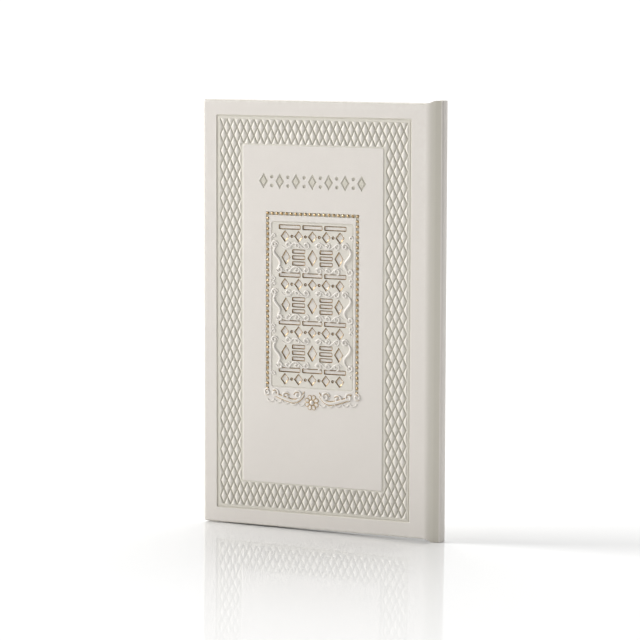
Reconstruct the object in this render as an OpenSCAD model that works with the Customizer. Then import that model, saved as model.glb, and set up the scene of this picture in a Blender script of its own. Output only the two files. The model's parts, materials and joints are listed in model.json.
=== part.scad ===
// Slim hardback prayer book: a leatherette case with a tooled border and a gilt panel,
// around four folded sheets (eight leaves) and two endpapers.
// Millimetres. The book stands on its tail: +Z runs up the spine, the front cover faces -Y,
// the fore-edge is at -X and the spine at +X, as on a book that is read from right to left.
// The origin is the middle of the footprint, level with the foot of the spine.

/* [Cover] */
// Height of a covered board
cover_h = 168; // [130:1:210]
// Width of a covered board, from the fore-edge to the joint
cover_w = 95.3; // [85:0.1:120]
// Thickness of the closed book
book_t = 7; // [6.8:0.1:9]
// Thickness of the leatherette
skin_t = 0.5; // [0.4:0.05:0.6]
// Thickness of a greyboard
board_t = 1.8; // [1.5:0.1:1.9]
// Thickness of the leatherette where it is turned in over a board
turnin_t = 0.25; // [0.2:0.05:0.3]
// Width of the leatherette that is turned in over a board
turnin_w = 14; // [8:1:18]
// Thickness of the endpaper that is pasted to a board
paste_t = 0.15; // [0.1:0.05:0.2]
// Radius of a covered board's outer edges
edge_r = 0.8; // [0.3:0.1:1]

/* [Spine and joints] */
// Width of the joint, from the board to the hinge line
joint_w = 5.9; // [5:0.1:8]
// Fall of the joint, from the cover's face to the hinge line
joint_drop = 1.2; // [0.8:0.1:1.4]
// Fall of the joint close to the board, where the leatherette rounds the board's edge
shoulder_drop = 0.45; // [0.2:0.05:0.6]
// Width of that rounded shoulder
shoulder_w = 1.4; // [0.8:0.1:2]
// Distance from the hinge line to the outer face of the spine
spine_d = 1; // [1:0.1:1.5]
// Radius of the spine's outer corners
spine_r = 0.9; // [0.6:0.05:0.95]
// Length by which the spine overhangs the boards, at the head and at the tail
spine_rise = 1.1; // [0.5:0.1:2]
// Width over which the joint's ends grow from board height to spine height
rise_w = 4; // [2:0.5:4.5]
// Thickness of the card strip inside the spine
liner_t = 0.6; // [0.4:0.1:0.8]
// Gap between the joint and the spine, where the leatherette bends
hinge_gap = 0.06; // [0.04:0.01:0.1]

/* [Leaves] */
// Margin of cover around the leaves, at the head, the tail and the fore-edge
square_w = 3; // [2:0.5:5]
// Share of the text block's thickness that is paper
paper_share = 0.8; // [0.7:0.05:0.9]
// Distance from the hinge line to the fold of an endpaper
fold_back = 2; // [1.8:0.1:2.5]
// Step from the fold of one sheet to the fold of the sheet inside it
fold_step = 0.3; // [0.25:0.05:0.4]

/* [Tooling] */
// Margin between a board's edge and the tooled border
border_margin = 5.8; // [4:0.1:8]
// Width of the tooled border
border_w = 11.9; // [8:0.1:14]
// Depth of the tooled border
border_depth = 0.25; // [0.1:0.05:0.3]
// Width of the recessed panel
panel_w = 35.5; // [28:0.5:40]
// Height of the recessed panel
panel_h = 65.5; // [50:0.5:75]
// Height of the panel's centre above the foot of the board
panel_z = 88.3; // [85:0.1:92]
// Depth of the recessed panel
panel_depth = 0.2; // [0.1:0.05:0.25]
// Spacing of the gilt beads around the panel
bead_pitch = 2.03; // [1.9:0.01:2.2]
// Diameter of a bead
bead_d = 1.2; // [0.8:0.1:1.4]
// Thickness of the gilt foil
foil_t = 0.08; // [0.05:0.01:0.1]

/* [Hidden] */
leaf_count = 8;

$fn = 48;
eps = 0.01;

leatherette = "#e9e4da";
greyboard = "#8f887a";
endpaper = "#f2ecdc";
paper = "#fbf8ef";
gilt = "#c8a14a";
gauze_white = "#e6e2d6";
glue_amber = "#d8c9a0";

total_w = cover_w + joint_w + spine_d;
total_h = cover_h + 2 * spine_rise;
fore_x = -total_w / 2;
board_x = fore_x + cover_w;
hinge_x = board_x + joint_w;
spine_x = total_w / 2;
face_y = -book_t / 2;
hinge_y = face_y + joint_drop;
case_t = skin_t + board_t + turnin_t;
block_t = book_t - 2 * (case_t + paste_t);
leaf_pitch = block_t / (leaf_count + 2);
leaf_t = leaf_pitch * paper_share;
fold_x = hinge_x - fold_back;
leaf_h = cover_h - 2 * square_w;
leaf_z = spine_rise + square_w;

spine_half = book_t / 2 - joint_drop;
liner_play = 0.2;
liner_half = spine_half - skin_t - liner_play;
liner_x = spine_x - skin_t - liner_t;
spine_turnin = 12;
gauze_t = 0.2;
gauze_half = 1.2;
glue_half = block_t / 2;
thread_d = 0.4;
thread_play = 0.1;
gauze_x = fold_x + leaf_t / 2 + thread_d + thread_play;
gauze_end = 4;
glue_end = spine_turnin + 1;
stitch_count = 3;
stitch_l = 34;

frame_w = cover_w - 2 * border_margin;
frame_h = cover_h - 2 * border_margin;
cover_mid_x = fore_x + cover_w / 2;
cover_mid_z = spine_rise + cover_h / 2;
panel_mid_z = spine_rise + panel_z;
bead_cols = 20;
bead_rows = 35;
bead_w = (bead_cols - 1) * bead_pitch;
bead_h = (bead_rows - 1) * bead_pitch;
bead_drop = 0.6;
bead_foot = panel_mid_z - panel_h / 2 - bead_drop;
bead_depth = 0.25;
channel_w = bead_d + 0.3;
line_w = 0.55;

ornament_rows = 7;
ornament_pitch = 6.6;
ornament_r = 2.7;
ornaments_a_side = 2;

crest_drop = 4.6;
crest_z = bead_foot - crest_drop;
rosette_r = 2.9;
rosette_eye_r = 1.5;
swag_z = 3;
inner_swag_x = 7.5;
inner_swag_r = 3.9;
outer_swag_x = 15.1;
outer_swag_r = 3.1;
end_curl_x = 19.9;
end_curl_z = 2.2;
end_curl_r = 1.3;

blind_z = spine_rise + 136.6;
blind_depth = 0.15;
blind_pitch = 3.5;
blind_side = 3.1;
blind_dot_r = 0.8;
blinds_a_side = 6;

// ---------- cover boards and leatherette ----------

// Depth and height outline of a covered board, rounded at the head and the tail
module board_side() {
    translate([edge_r, 0]) square([case_t - edge_r, cover_h]);
    translate([0, edge_r]) square([case_t, cover_h - 2 * edge_r]);
    for (z = [edge_r, cover_h - edge_r])
        translate([edge_r, z]) circle(edge_r);
}

// Plan outline of a covered board, rounded at the fore-edge
module board_plan() {
    translate([fore_x, face_y + edge_r]) square([cover_w, case_t - edge_r]);
    translate([fore_x + edge_r, face_y]) square([cover_w - edge_r, case_t]);
    translate([fore_x + edge_r, face_y + edge_r]) circle(edge_r);
}

module cover_blank() {
    intersection() {
        translate([fore_x, face_y, spine_rise])
            rotate([90, 0, 90])
                linear_extrude(cover_w) board_side();
        translate([0, 0, spine_rise])
            linear_extrude(cover_h) board_plan();
    }
}

// A slab behind the cover's face: from depth to depth + thickness, with margins from the board's edges
module cover_slab(depth, thickness, fore_margin, end_margin) {
    translate([fore_x + fore_margin, face_y + depth, spine_rise + end_margin])
        cube([cover_w - fore_margin, thickness, cover_h - 2 * end_margin]);
}

module board() {
    color(greyboard)
        cover_slab(skin_t, board_t, skin_t, skin_t);
}

// The leatherette wraps the face and three edges, and is turned in over the board's inner side
module cover_skin() {
    difference() {
        cover_blank();
        cover_slab(skin_t, board_t, skin_t, skin_t);
        cover_slab(skin_t + board_t - eps, turnin_t + 1, turnin_w, turnin_w);
        tooled_band();
    }
}

module pastedown() {
    color(endpaper) union() {
        cover_slab(case_t - turnin_t, turnin_t + eps, turnin_w, turnin_w);
        cover_slab(case_t, paste_t, square_w, square_w);
    }
}

// ---------- tooling on the cover's face ----------

// Places a flat pattern on the cover's face: pattern x to the right, pattern y up, cut to a depth
module on_face(x, z, depth, rise = 1) {
    translate([x, face_y + depth, z])
        rotate([90, 0, 0])
            linear_extrude(depth + rise) children();
}

module frame_outline(w, h, band) {
    difference() {
        square([w, h], center = true);
        square([w - 2 * band, h - 2 * band], center = true);
    }
}

module tooled_band() {
    on_face(cover_mid_x, cover_mid_z, border_depth)
        frame_outline(frame_w, frame_h, border_w);
}

module panel_recess() {
    on_face(cover_mid_x, panel_mid_z, panel_depth)
        square([panel_w, panel_h], center = true);
}

// The beads run up both sides of the panel and across its top
function bead_places() = concat(
    [for (i = [0:bead_cols - 1]) [-bead_w / 2 + i * bead_pitch, bead_h]],
    [for (j = [0:bead_rows - 2], side = [-1, 1]) [side * bead_w / 2, j * bead_pitch]]
);

module bead_channel() {
    on_face(cover_mid_x, bead_foot, bead_depth) {
        for (side = [-1, 1])
            translate([side * bead_w / 2 - channel_w / 2, -channel_w / 2])
                square([channel_w, bead_h + channel_w]);
        translate([-bead_w / 2 - channel_w / 2, bead_h - channel_w / 2])
            square([bead_w + channel_w, channel_w]);
    }
}

// Each bead is a round stud that fills the depth of the channel
module gilt_bead_frame() {
    color(gilt)
        for (p = bead_places())
            translate([cover_mid_x + p[0], face_y + bead_depth, bead_foot + p[1]])
                rotate([90, 0, 0])
                    cylinder(h = bead_depth, d = bead_d);
}

module ring(r) {
    difference() {
        circle(r);
        circle(r - line_w);
    }
}

module lozenge(r) {
    difference() {
        rotate(45) square(r * sqrt(2), center = true);
        rotate(45) square(r * sqrt(2) - 2 * line_w, center = true);
    }
}

// One row of the panel: a ring in the middle, then lozenges and rings by turns to each side
module ornament_row(count, pitch, r, flip) {
    for (i = [-count:count])
        translate([i * pitch, 0])
            if ((abs(i) + flip) % 2 == 0) ring(r);
            else lozenge(r);
}

module gilt_panel_ornament() {
    row_pitch = panel_h / ornament_rows;
    color(gilt)
        for (k = [0:ornament_rows - 1])
            on_foil_floor(cover_mid_x, panel_mid_z + (k - (ornament_rows - 1) / 2) * row_pitch, panel_depth)
                ornament_row(ornaments_a_side, ornament_pitch, ornament_r, k % 2);
}

module on_foil_floor(x, z, depth) {
    translate([x, face_y + depth, z])
        rotate([90, 0, 0])
            linear_extrude(foil_t) children();
}

// The lower half of a ring
module half_ring(r) {
    intersection() {
        ring(r);
        translate([-r, -r]) square([2 * r, r]);
    }
}

// Festoon below the panel: a rosette in the middle and two hanging swags to each side
module crest_lines() {
    ring(rosette_r);
    ring(rosette_eye_r);
    for (side = [-1, 1]) {
        translate([side * inner_swag_x, swag_z]) half_ring(inner_swag_r);
        translate([side * outer_swag_x, swag_z]) half_ring(outer_swag_r);
        translate([side * end_curl_x, end_curl_z]) ring(end_curl_r);
    }
}

module gilt_crest() {
    color(gilt)
        on_foil_floor(cover_mid_x, crest_z, foil_t * 2) crest_lines();
}

// Blind row above the panel, in place of a title
module blind_row() {
    for (i = [-blinds_a_side:blinds_a_side])
        translate([i * blind_pitch, 0])
            if (i % 2 == 0) rotate(45) square(blind_side, center = true);
            else circle(blind_dot_r);
}

// ---------- joints and spine ----------

// Cross-section of the leatherette from the board's edge to the hinge line
module joint_section() {
    slope = atan2(joint_drop - shoulder_drop, joint_w - shoulder_w);
    end_x = hinge_x - hinge_gap / 2 * cos(slope);
    end_y = hinge_y - hinge_gap / 2 * sin(slope);
    mid_x = board_x + shoulder_w;
    mid_y = face_y + shoulder_drop;
    polygon([
        [board_x, face_y],
        [mid_x, mid_y],
        [end_x, end_y],
        [end_x - skin_t * sin(slope), end_y + skin_t * cos(slope)],
        [mid_x - skin_t * sin(slope) * 2, mid_y + skin_t],
        [board_x, face_y + skin_t * 1.6]
    ]);
}

function smooth_step(t) = (1 - cos(180 * t)) / 2;

// Outline of the joint from the side: its ends swing out from the boards' height to the spine's
module joint_outline() {
    steps = 10;
    foot = [for (i = [0:steps]) [board_x + rise_w * i / steps, spine_rise * (1 - smooth_step(i / steps))]];
    head = [for (i = [steps:-1:0]) [foot[i][0], total_h - foot[i][1]]];
    polygon(concat(foot, [[hinge_x, 0], [hinge_x, total_h]], head));
}

module joint_strip() {
    color(leatherette)
        intersection() {
            linear_extrude(total_h) joint_section();
            rotate([90, 0, 0])
                linear_extrude(book_t, center = true) joint_outline();
        }
}

// Cross-section of the spine, solid: a bar whose two outer corners are rounded, cut off at the hinge lines
module spine_section() {
    root_x = hinge_x + hinge_gap / 2;
    intersection() {
        union() {
            translate([root_x - spine_r, -spine_half])
                square([spine_x - root_x, 2 * spine_half]);
            translate([spine_x - spine_r - eps, spine_r - spine_half])
                square([spine_r + eps, 2 * (spine_half - spine_r)]);
            for (side = [-1, 1])
                translate([spine_x - spine_r, side * (spine_half - spine_r)]) circle(spine_r);
        }
        translate([root_x, -spine_half])
            square([spine_x - root_x, 2 * spine_half]);
    }
}

// The spine's leatherette is a channel, turned in over the card at the head and the tail
module spine_skin() {
    wrap_x = liner_x - turnin_t;
    color(leatherette) {
        difference() {
            linear_extrude(total_h) spine_section();
            translate([0, 0, -1])
                linear_extrude(total_h + 2)
                    translate([hinge_x - 1, skin_t - spine_half])
                        square([spine_x - skin_t - hinge_x + 1, 2 * (spine_half - skin_t)]);
        }
        for (end = [0, 1])
            translate([0, 0, end * total_h])
                mirror([0, 0, end]) {
                    translate([wrap_x, -liner_half, 0])
                        cube([spine_x - skin_t - wrap_x + eps, 2 * liner_half, skin_t]);
                    translate([wrap_x, -liner_half, 0])
                        cube([turnin_t, 2 * liner_half, spine_turnin]);
                }
    }
}

module spine_liner() {
    color(greyboard)
        translate([liner_x, -liner_half, skin_t])
            cube([liner_t, 2 * liner_half, total_h - 2 * skin_t]);
}

// Gauze across the backs of the folded sheets
module spine_gauze() {
    color(gauze_white)
        translate([gauze_x, -gauze_half, leaf_z + gauze_end])
            cube([gauze_t, 2 * gauze_half, leaf_h - 2 * gauze_end]);
}

// Glue that holds the gauze to the card of the spine, between the turned-in ends
module spine_glue() {
    color(glue_amber)
        translate([gauze_x + gauze_t, -glue_half, glue_end])
            cube([liner_x - gauze_x - gauze_t, 2 * glue_half, total_h - 2 * glue_end]);
}

// Long stitches of thread that lie along the backs of the folded sheets
module sewing_thread() {
    gap = (leaf_h - stitch_count * stitch_l) / (stitch_count + 1);
    color(paper)
        for (i = [0:stitch_count - 1])
            translate([gauze_x - thread_d / 2, 0, leaf_z + gap + i * (stitch_l + gap)])
                cylinder(h = stitch_l, d = thread_d);
}

// ---------- leaves ----------

// Leaf number i from the front; 0 and leaf_count + 1 are the flyleaves
function leaf_y(i) = -block_t / 2 + (i + 0.5) * leaf_pitch;

// Sheets are nested, so a leaf's fold lies further from the spine the nearer it is to the middle
function leaf_fold_x(i) = fold_x - fold_step * min(i, leaf_count + 1 - i);

// A leaf is a thin plate that ends in a round fold, and the fold is its hinge
module leaf_plate(i) {
    fore = fore_x + square_w;
    translate([0, 0, leaf_z])
        linear_extrude(leaf_h) {
            translate([fore, leaf_y(i) - leaf_t / 2])
                square([leaf_fold_x(i) - fore, leaf_t]);
            translate([leaf_fold_x(i), leaf_y(i)])
                circle(leaf_t / 2);
        }
}

// ---------- sub-parts ----------

module mirrored() {
    mirror([0, 1, 0]) children();
}

module front_cover_skin() {
    color(leatherette)
        difference() {
            cover_skin();
            panel_recess();
            bead_channel();
            on_face(cover_mid_x, crest_z, foil_t * 2) crest_lines();
            on_face(cover_mid_x, blind_z, blind_depth) blind_row();
        }
}

module back_cover_skin() {
    color(leatherette)
        mirrored() cover_skin();
}

spine_skin();
spine_liner();
spine_glue();
spine_gauze();
sewing_thread();
board();  // front_board
front_cover_skin();
joint_strip();  // front_joint
pastedown();  // front_pastedown
gilt_bead_frame();
gilt_panel_ornament();
gilt_crest();
mirrored() board();  // back_board
back_cover_skin();
mirrored() joint_strip();  // back_joint
mirrored() pastedown();  // back_pastedown
color(endpaper) leaf_plate(0);  // front_flyleaf
color(endpaper) leaf_plate(leaf_count + 1);  // back_flyleaf
for (i = [1:leaf_count])
    color(paper) leaf_plate(i);
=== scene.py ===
"""A slim prayer book standing on its tail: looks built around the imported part.

Lengths are millimetres until a mesh is made. On a cover, u runs to the right, v up and d down
into the cover, from the middle of its outer face. The front cover faces -Y.
"""
import json
import math

import bmesh
import bpy
from mathutils import Matrix, Vector
from mathutils.geometry import delaunay_2d_cdt

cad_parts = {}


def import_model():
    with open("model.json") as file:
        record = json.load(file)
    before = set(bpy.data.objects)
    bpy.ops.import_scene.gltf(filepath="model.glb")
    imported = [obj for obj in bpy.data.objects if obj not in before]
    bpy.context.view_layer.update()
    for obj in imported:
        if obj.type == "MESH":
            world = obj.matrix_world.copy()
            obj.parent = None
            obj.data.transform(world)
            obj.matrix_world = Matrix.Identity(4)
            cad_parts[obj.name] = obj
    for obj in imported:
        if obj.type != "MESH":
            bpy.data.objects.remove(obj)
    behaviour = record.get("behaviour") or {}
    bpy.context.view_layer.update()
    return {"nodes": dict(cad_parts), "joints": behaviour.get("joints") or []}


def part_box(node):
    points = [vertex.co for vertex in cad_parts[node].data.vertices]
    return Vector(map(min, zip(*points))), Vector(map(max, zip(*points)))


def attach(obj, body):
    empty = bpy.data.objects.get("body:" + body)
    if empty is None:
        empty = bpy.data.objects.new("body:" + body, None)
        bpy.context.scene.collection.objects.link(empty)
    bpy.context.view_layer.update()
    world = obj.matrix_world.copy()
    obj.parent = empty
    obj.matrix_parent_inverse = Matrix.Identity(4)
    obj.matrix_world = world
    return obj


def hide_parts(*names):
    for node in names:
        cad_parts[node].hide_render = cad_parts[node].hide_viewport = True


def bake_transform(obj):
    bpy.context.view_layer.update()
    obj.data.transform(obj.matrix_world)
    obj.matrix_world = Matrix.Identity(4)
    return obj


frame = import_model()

MM = 0.001


def box_mm(node):
    lo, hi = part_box(node)
    return lo / MM, hi / MM


# ---------- sizes from the frame ----------

SKIN_LO, SKIN_HI = box_mm("front_cover_skin")
SPINE_LO, SPINE_HI = box_mm("spine_skin")
BEAD_LO, BEAD_HI = box_mm("gilt_bead_frame")
CREST_LO = box_mm("gilt_crest")[0]
ROW_LO, ROW_HI = box_mm("gilt_panel_ornament")
PASTE_LO, PASTE_HI = box_mm("front_pastedown")
FLY_LO, FLY_HI = box_mm("front_flyleaf")
GAUZE_LO, GAUZE_HI = box_mm("spine_gauze")
HINGE = {j["child"]: Vector(j["pos_m"]) / MM for j in frame["joints"]}

COVER_W = SKIN_HI.x - SKIN_LO.x
COVER_H = SKIN_HI.z - SKIN_LO.z
MID_X = (SKIN_LO.x + SKIN_HI.x) / 2
MID_Z = (SKIN_LO.z + SKIN_HI.z) / 2
FACE_Y = SKIN_LO.y
CASE_T = SKIN_HI.y - SKIN_LO.y
BOARD_X = SKIN_HI.x
HINGE_X, HINGE_Y = HINGE["front_cover"].x, HINGE["front_cover"].y

# ---------- driving sizes of the looks ----------

EDGE_R = 0.8          # rounding of the cover's outer edges
INNER_EDGE_R = 0.35   # rounding of its inner edges
SKIN_T = 0.5          # leatherette
TURNIN_W = 14.0       # width of the turned-in leatherette
TURNIN_T = 0.25
CORNER_R = 0.9        # corner of a cover seen from the front

BAND_MARGIN = 5.8     # cover's edge to the tooled band
BAND_W = 11.9
BAND_R = 0.7
BAND_FLOOR = 0.20     # depth of the plain fillet on both sides of the lattice
LINE_DEPTH = 0.40     # depth of the tooled line around the band
LATTICE_GAP = 1.75    # band's outer edge to the lattice
HALF_COLS, HALF_ROWS = 54, 49      # half lozenges across and up the whole cover
BAND_COLS, BAND_ROWS = 6, 3        # half lozenges across the band's sides and ends
CUTS = 4              # facets from a lozenge's middle to its edge
LOZENGE = (0.0, 0.03, 0.08, 0.19, 0.45)   # depth from the middle of a lozenge to its groove

BEAD_D = 1.2
CHANNEL_W = 1.5
CHANNEL_DEPTH = 0.25
BEAD_PITCH = 2.03
BEAD_RISE = 0.42
BLIND_V = 52.6        # blind row above the middle of the cover
CREST_DROP = 2.9      # rosette's middle above the foot of the crest
PANEL_W, PANEL_H = 35.5, 65.5
PANEL_R = 1.0         # corner radius; must stay above the deepest inset of its edge
PANEL_DEPTH = 0.14
ROWS = 7
FOIL_T = 0.03
EDGE_SHADE_W = 0.15         # width of painted shade along the outer edge of a gilt figure


# ---------- mesh tools ----------

def make_mesh(name, verts, faces, material, body=None, sharp=38, **values):
    """A closed mesh from millimetre points, with a copy of its rest place for the materials.
    values are named lists with a number for each point."""
    mesh = bpy.data.meshes.new(name)
    mesh.from_pydata([Vector(p) * MM for p in verts], [], faces)
    bm = bmesh.new()
    bm.from_mesh(mesh)
    for key, numbers in values.items():
        layer = bm.verts.layers.float.new(key)
        bm.verts.ensure_lookup_table()
        for v, number in zip(bm.verts, numbers):
            v[layer] = number
    bmesh.ops.remove_doubles(bm, verts=bm.verts, dist=0.0005 * MM)
    bmesh.ops.dissolve_degenerate(bm, edges=bm.edges, dist=0.0002 * MM)
    bmesh.ops.recalc_face_normals(bm, faces=bm.faces)
    for f in bm.faces:
        f.smooth = abs(f.normal.y) < 0.99995
    for e in bm.edges:
        e.smooth = not e.is_manifold or e.calc_face_angle(0) < math.radians(sharp)
    bm.to_mesh(mesh)
    bm.free()
    rest = mesh.attributes.new("rest", "FLOAT_VECTOR", "POINT")
    flat = [c for v in mesh.vertices for c in v.co]
    rest.data.foreach_set("vector", flat)
    mesh.materials.append(material)
    obj = bpy.data.objects.new(name, mesh)
    bpy.context.scene.collection.objects.link(obj)
    if body:
        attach(obj, body)
    return obj


INSIDE_CONSTRAINTS = 1  # the triangulation's output type


def inside(p, outline):
    """Even-odd test of a point against an outline."""
    odd = False
    for a, b in zip(outline, outline[1:] + outline[:1]):
        if (a[1] > p[1]) != (b[1] > p[1]):
            odd ^= p[0] < a[0] + (p[1] - a[1]) * (b[0] - a[0]) / (b[1] - a[1])
    return odd


class Relief:
    """Points and faces on a cover, in u, v, d."""

    def __init__(self):
        self.points, self.faces, self.wear, self.tone = [], [], [], []

    def add(self, points, wear=0.0, tone=None):
        """Adds points, each with a level of painted shade; without one given, the depth below the face
        sets it.
        """
        start = len(self.points)
        self.points += points
        self.wear += [wear] * len(points)
        for _, _, d in points:
            # painted shade: the deeper a point of the leatherette, the darker
            by_depth = d / BAND_FLOOR if d < SKIN_T - 0.01 else 0.0
            self.tone.append(max(0.0, by_depth) if tone is None else tone)
        return list(range(start, len(self.points)))

    def loop(self, outline, depth, wear=0.0, tone=None):
        return self.add([(u, v, depth) for u, v in outline], wear, tone)

    def bridge(self, a, b):
        n = len(a)
        self.faces += [(a[i], a[(i + 1) % n], b[(i + 1) % n], b[i]) for i in range(n)]

    def fill(self, outer, holes=()):
        """Triangles between an outer loop and the loops inside it."""
        loops = [outer, *holes]
        index = [i for loop in loops for i in loop]
        owner = [k for k, loop in enumerate(loops) for _ in loop]
        flat = [Vector(self.points[i][:2]) for i in index]
        edges, start = [], 0
        for loop in loops:
            n = len(loop)
            edges += [(start + k, start + (k + 1) % n) for k in range(n)]
            start += n
        out = delaunay_2d_cdt(flat, edges, [], INSIDE_CONSTRAINTS, 1e-6)
        if any(not origin for origin in out[3]):
            raise ValueError("two outlines on the cover cross")
        for face in out[2]:
            corners = [out[3][i][0] for i in face]
            hole = owner[corners[0]]
            if hole and all(owner[c] == hole for c in corners):
                middle = sum((flat[c] for c in corners), Vector((0, 0))) / 3
                if inside(middle, [self.points[i] for i in loops[hole]]):
                    continue
            self.faces.append(tuple(index[c] for c in corners))

    def place(self, side):
        """Points in the row frame: side -1 is the front cover and 1 the back cover."""
        return [(MID_X + u, side * (-FACE_Y - d), MID_Z + v) for u, v, d in self.points]


def rounded_rect(half_w, half_h, r, steps=5, centre=(0.0, 0.0)):
    cu, cv = centre
    out = []
    for k, (su, sv) in enumerate(((1, 1), (-1, 1), (-1, -1), (1, -1))):
        for s in range(steps + 1):
            a = math.radians(90 * (k + s / steps))
            out.append((cu + su * (half_w - r) + r * math.cos(a),
                        cv + sv * (half_h - r) + r * math.sin(a)))
    return out


def circle(r, centre=(0.0, 0.0), steps=20):
    return [(centre[0] + r * math.cos(math.tau * k / steps),
             centre[1] + r * math.sin(math.tau * k / steps)) for k in range(steps)]


def inset(outline, dist):
    """The outline moved inwards by a distance (outwards if negative), corners mitred."""
    n, out = len(outline), []
    for i in range(n):
        p, q, r = (Vector(outline[(i + k - 1) % n]) for k in range(3))
        a, b = (q - p).normalized(), (r - q).normalized()
        na, nb = Vector((-a.y, a.x)), Vector((-b.y, b.x))
        m = na + nb
        m = m / max(m.length_squared / 2, 0.3)
        out.append(tuple(q + m * dist))
    return out


def disc(r, centre, steps=16):
    """Shapes are functions from an inset to an outline."""
    return lambda i: circle(r - i, centre, steps)


def bar(cu, cv, w, h):
    r = min(w, h) * 0.2
    return lambda i: rounded_rect(w / 2 - i, h / 2 - i, max(r - i, 0.03), 2, (cu, cv))


def lozenge(half_w, half_h, centre=(0.0, 0.0)):
    cu, cv = centre
    side = math.hypot(half_w, half_h)

    def outline(i):
        w, h = half_w - i * side / half_h, half_h - i * side / half_w
        return [(cu + w, cv), (cu, cv + h), (cu - w, cv), (cu, cv - h)]
    return outline


def plain(outline):
    return lambda i: inset(outline, i)


def stamp(relief, shape, level, profile, floor_shade=None):
    """Presses a shape into a flat: profile lists (inset, depth). The last loop is filled. Loops after the
    second take the painted shade given, if any; otherwise depth sets it.
    """
    loops = [relief.loop(shape(i), level + d, 0.0, floor_shade if k > 1 else None)
             for k, (i, d) in enumerate(profile)]
    for a, b in zip(loops, loops[1:]):
        relief.bridge(a, b)
    relief.fill(loops[-1])
    return loops[0]


def foil_band(relief, shape, level, profile):
    """A closed strip of foil that lies on part of a stamped profile, with painted shade along its outer
    edge.
    """
    top, under = ([relief.loop(shape(i), level + d + lift, 0.0, 1.0 if i < EDGE_SHADE_W else 0.0)
                   for i, d in profile] for lift in (-FOIL_T, FOIL_T))
    ring = top + under[::-1]
    for a, b in zip(ring, ring[1:] + ring[:1]):
        relief.bridge(a, b)


def tube(relief, path, radius, level, height=1.0, sides=8, taper=0.35):
    """A round moulding along a path on the cover, half sunk, thinning towards both ends."""
    n, loops = len(path), []
    for i, (u, v) in enumerate(path):
        a = Vector(path[max(i - 1, 0)])
        b = Vector(path[min(i + 1, n - 1)])
        side = (b - a).normalized().orthogonal()
        t = i / (n - 1)
        r = radius * (taper + (1 - taper) * math.sin(math.pi * min(1, max(0, t))) ** 0.5)
        ring = []
        for k in range(sides):
            c = math.tau * k / sides
            ring.append((u + side.x * r * math.cos(c), v + side.y * r * math.cos(c),
                         level - height * r * math.sin(c)))
        # slight painted shade on the mouldings
        loops.append(relief.add(ring, 0.0, 0.15))
    for a, b in zip(loops, loops[1:]):
        relief.bridge(a, b)
    for cap in (loops[0], loops[-1]):
        relief.faces.append(tuple(cap))


def dome(relief, centre, r, height, level, rings=4, sides=14):
    loops = []
    for k in range(rings):
        a = math.pi / 2 * k / rings
        loops.append(relief.loop(circle(r * math.cos(a), centre, sides), level - height * math.sin(a)))
    for a, b in zip(loops, loops[1:]):
        relief.bridge(a, b)
    top = relief.loop([centre], level - height)[0]
    last = loops[-1]
    relief.faces += [(last[i], last[(i + 1) % sides], top) for i in range(sides)]
    base = relief.loop(circle(r, centre, sides), level + FOIL_T)
    relief.bridge(loops[0], base)
    relief.faces.append(tuple(base))


# ---------- materials ----------

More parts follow.
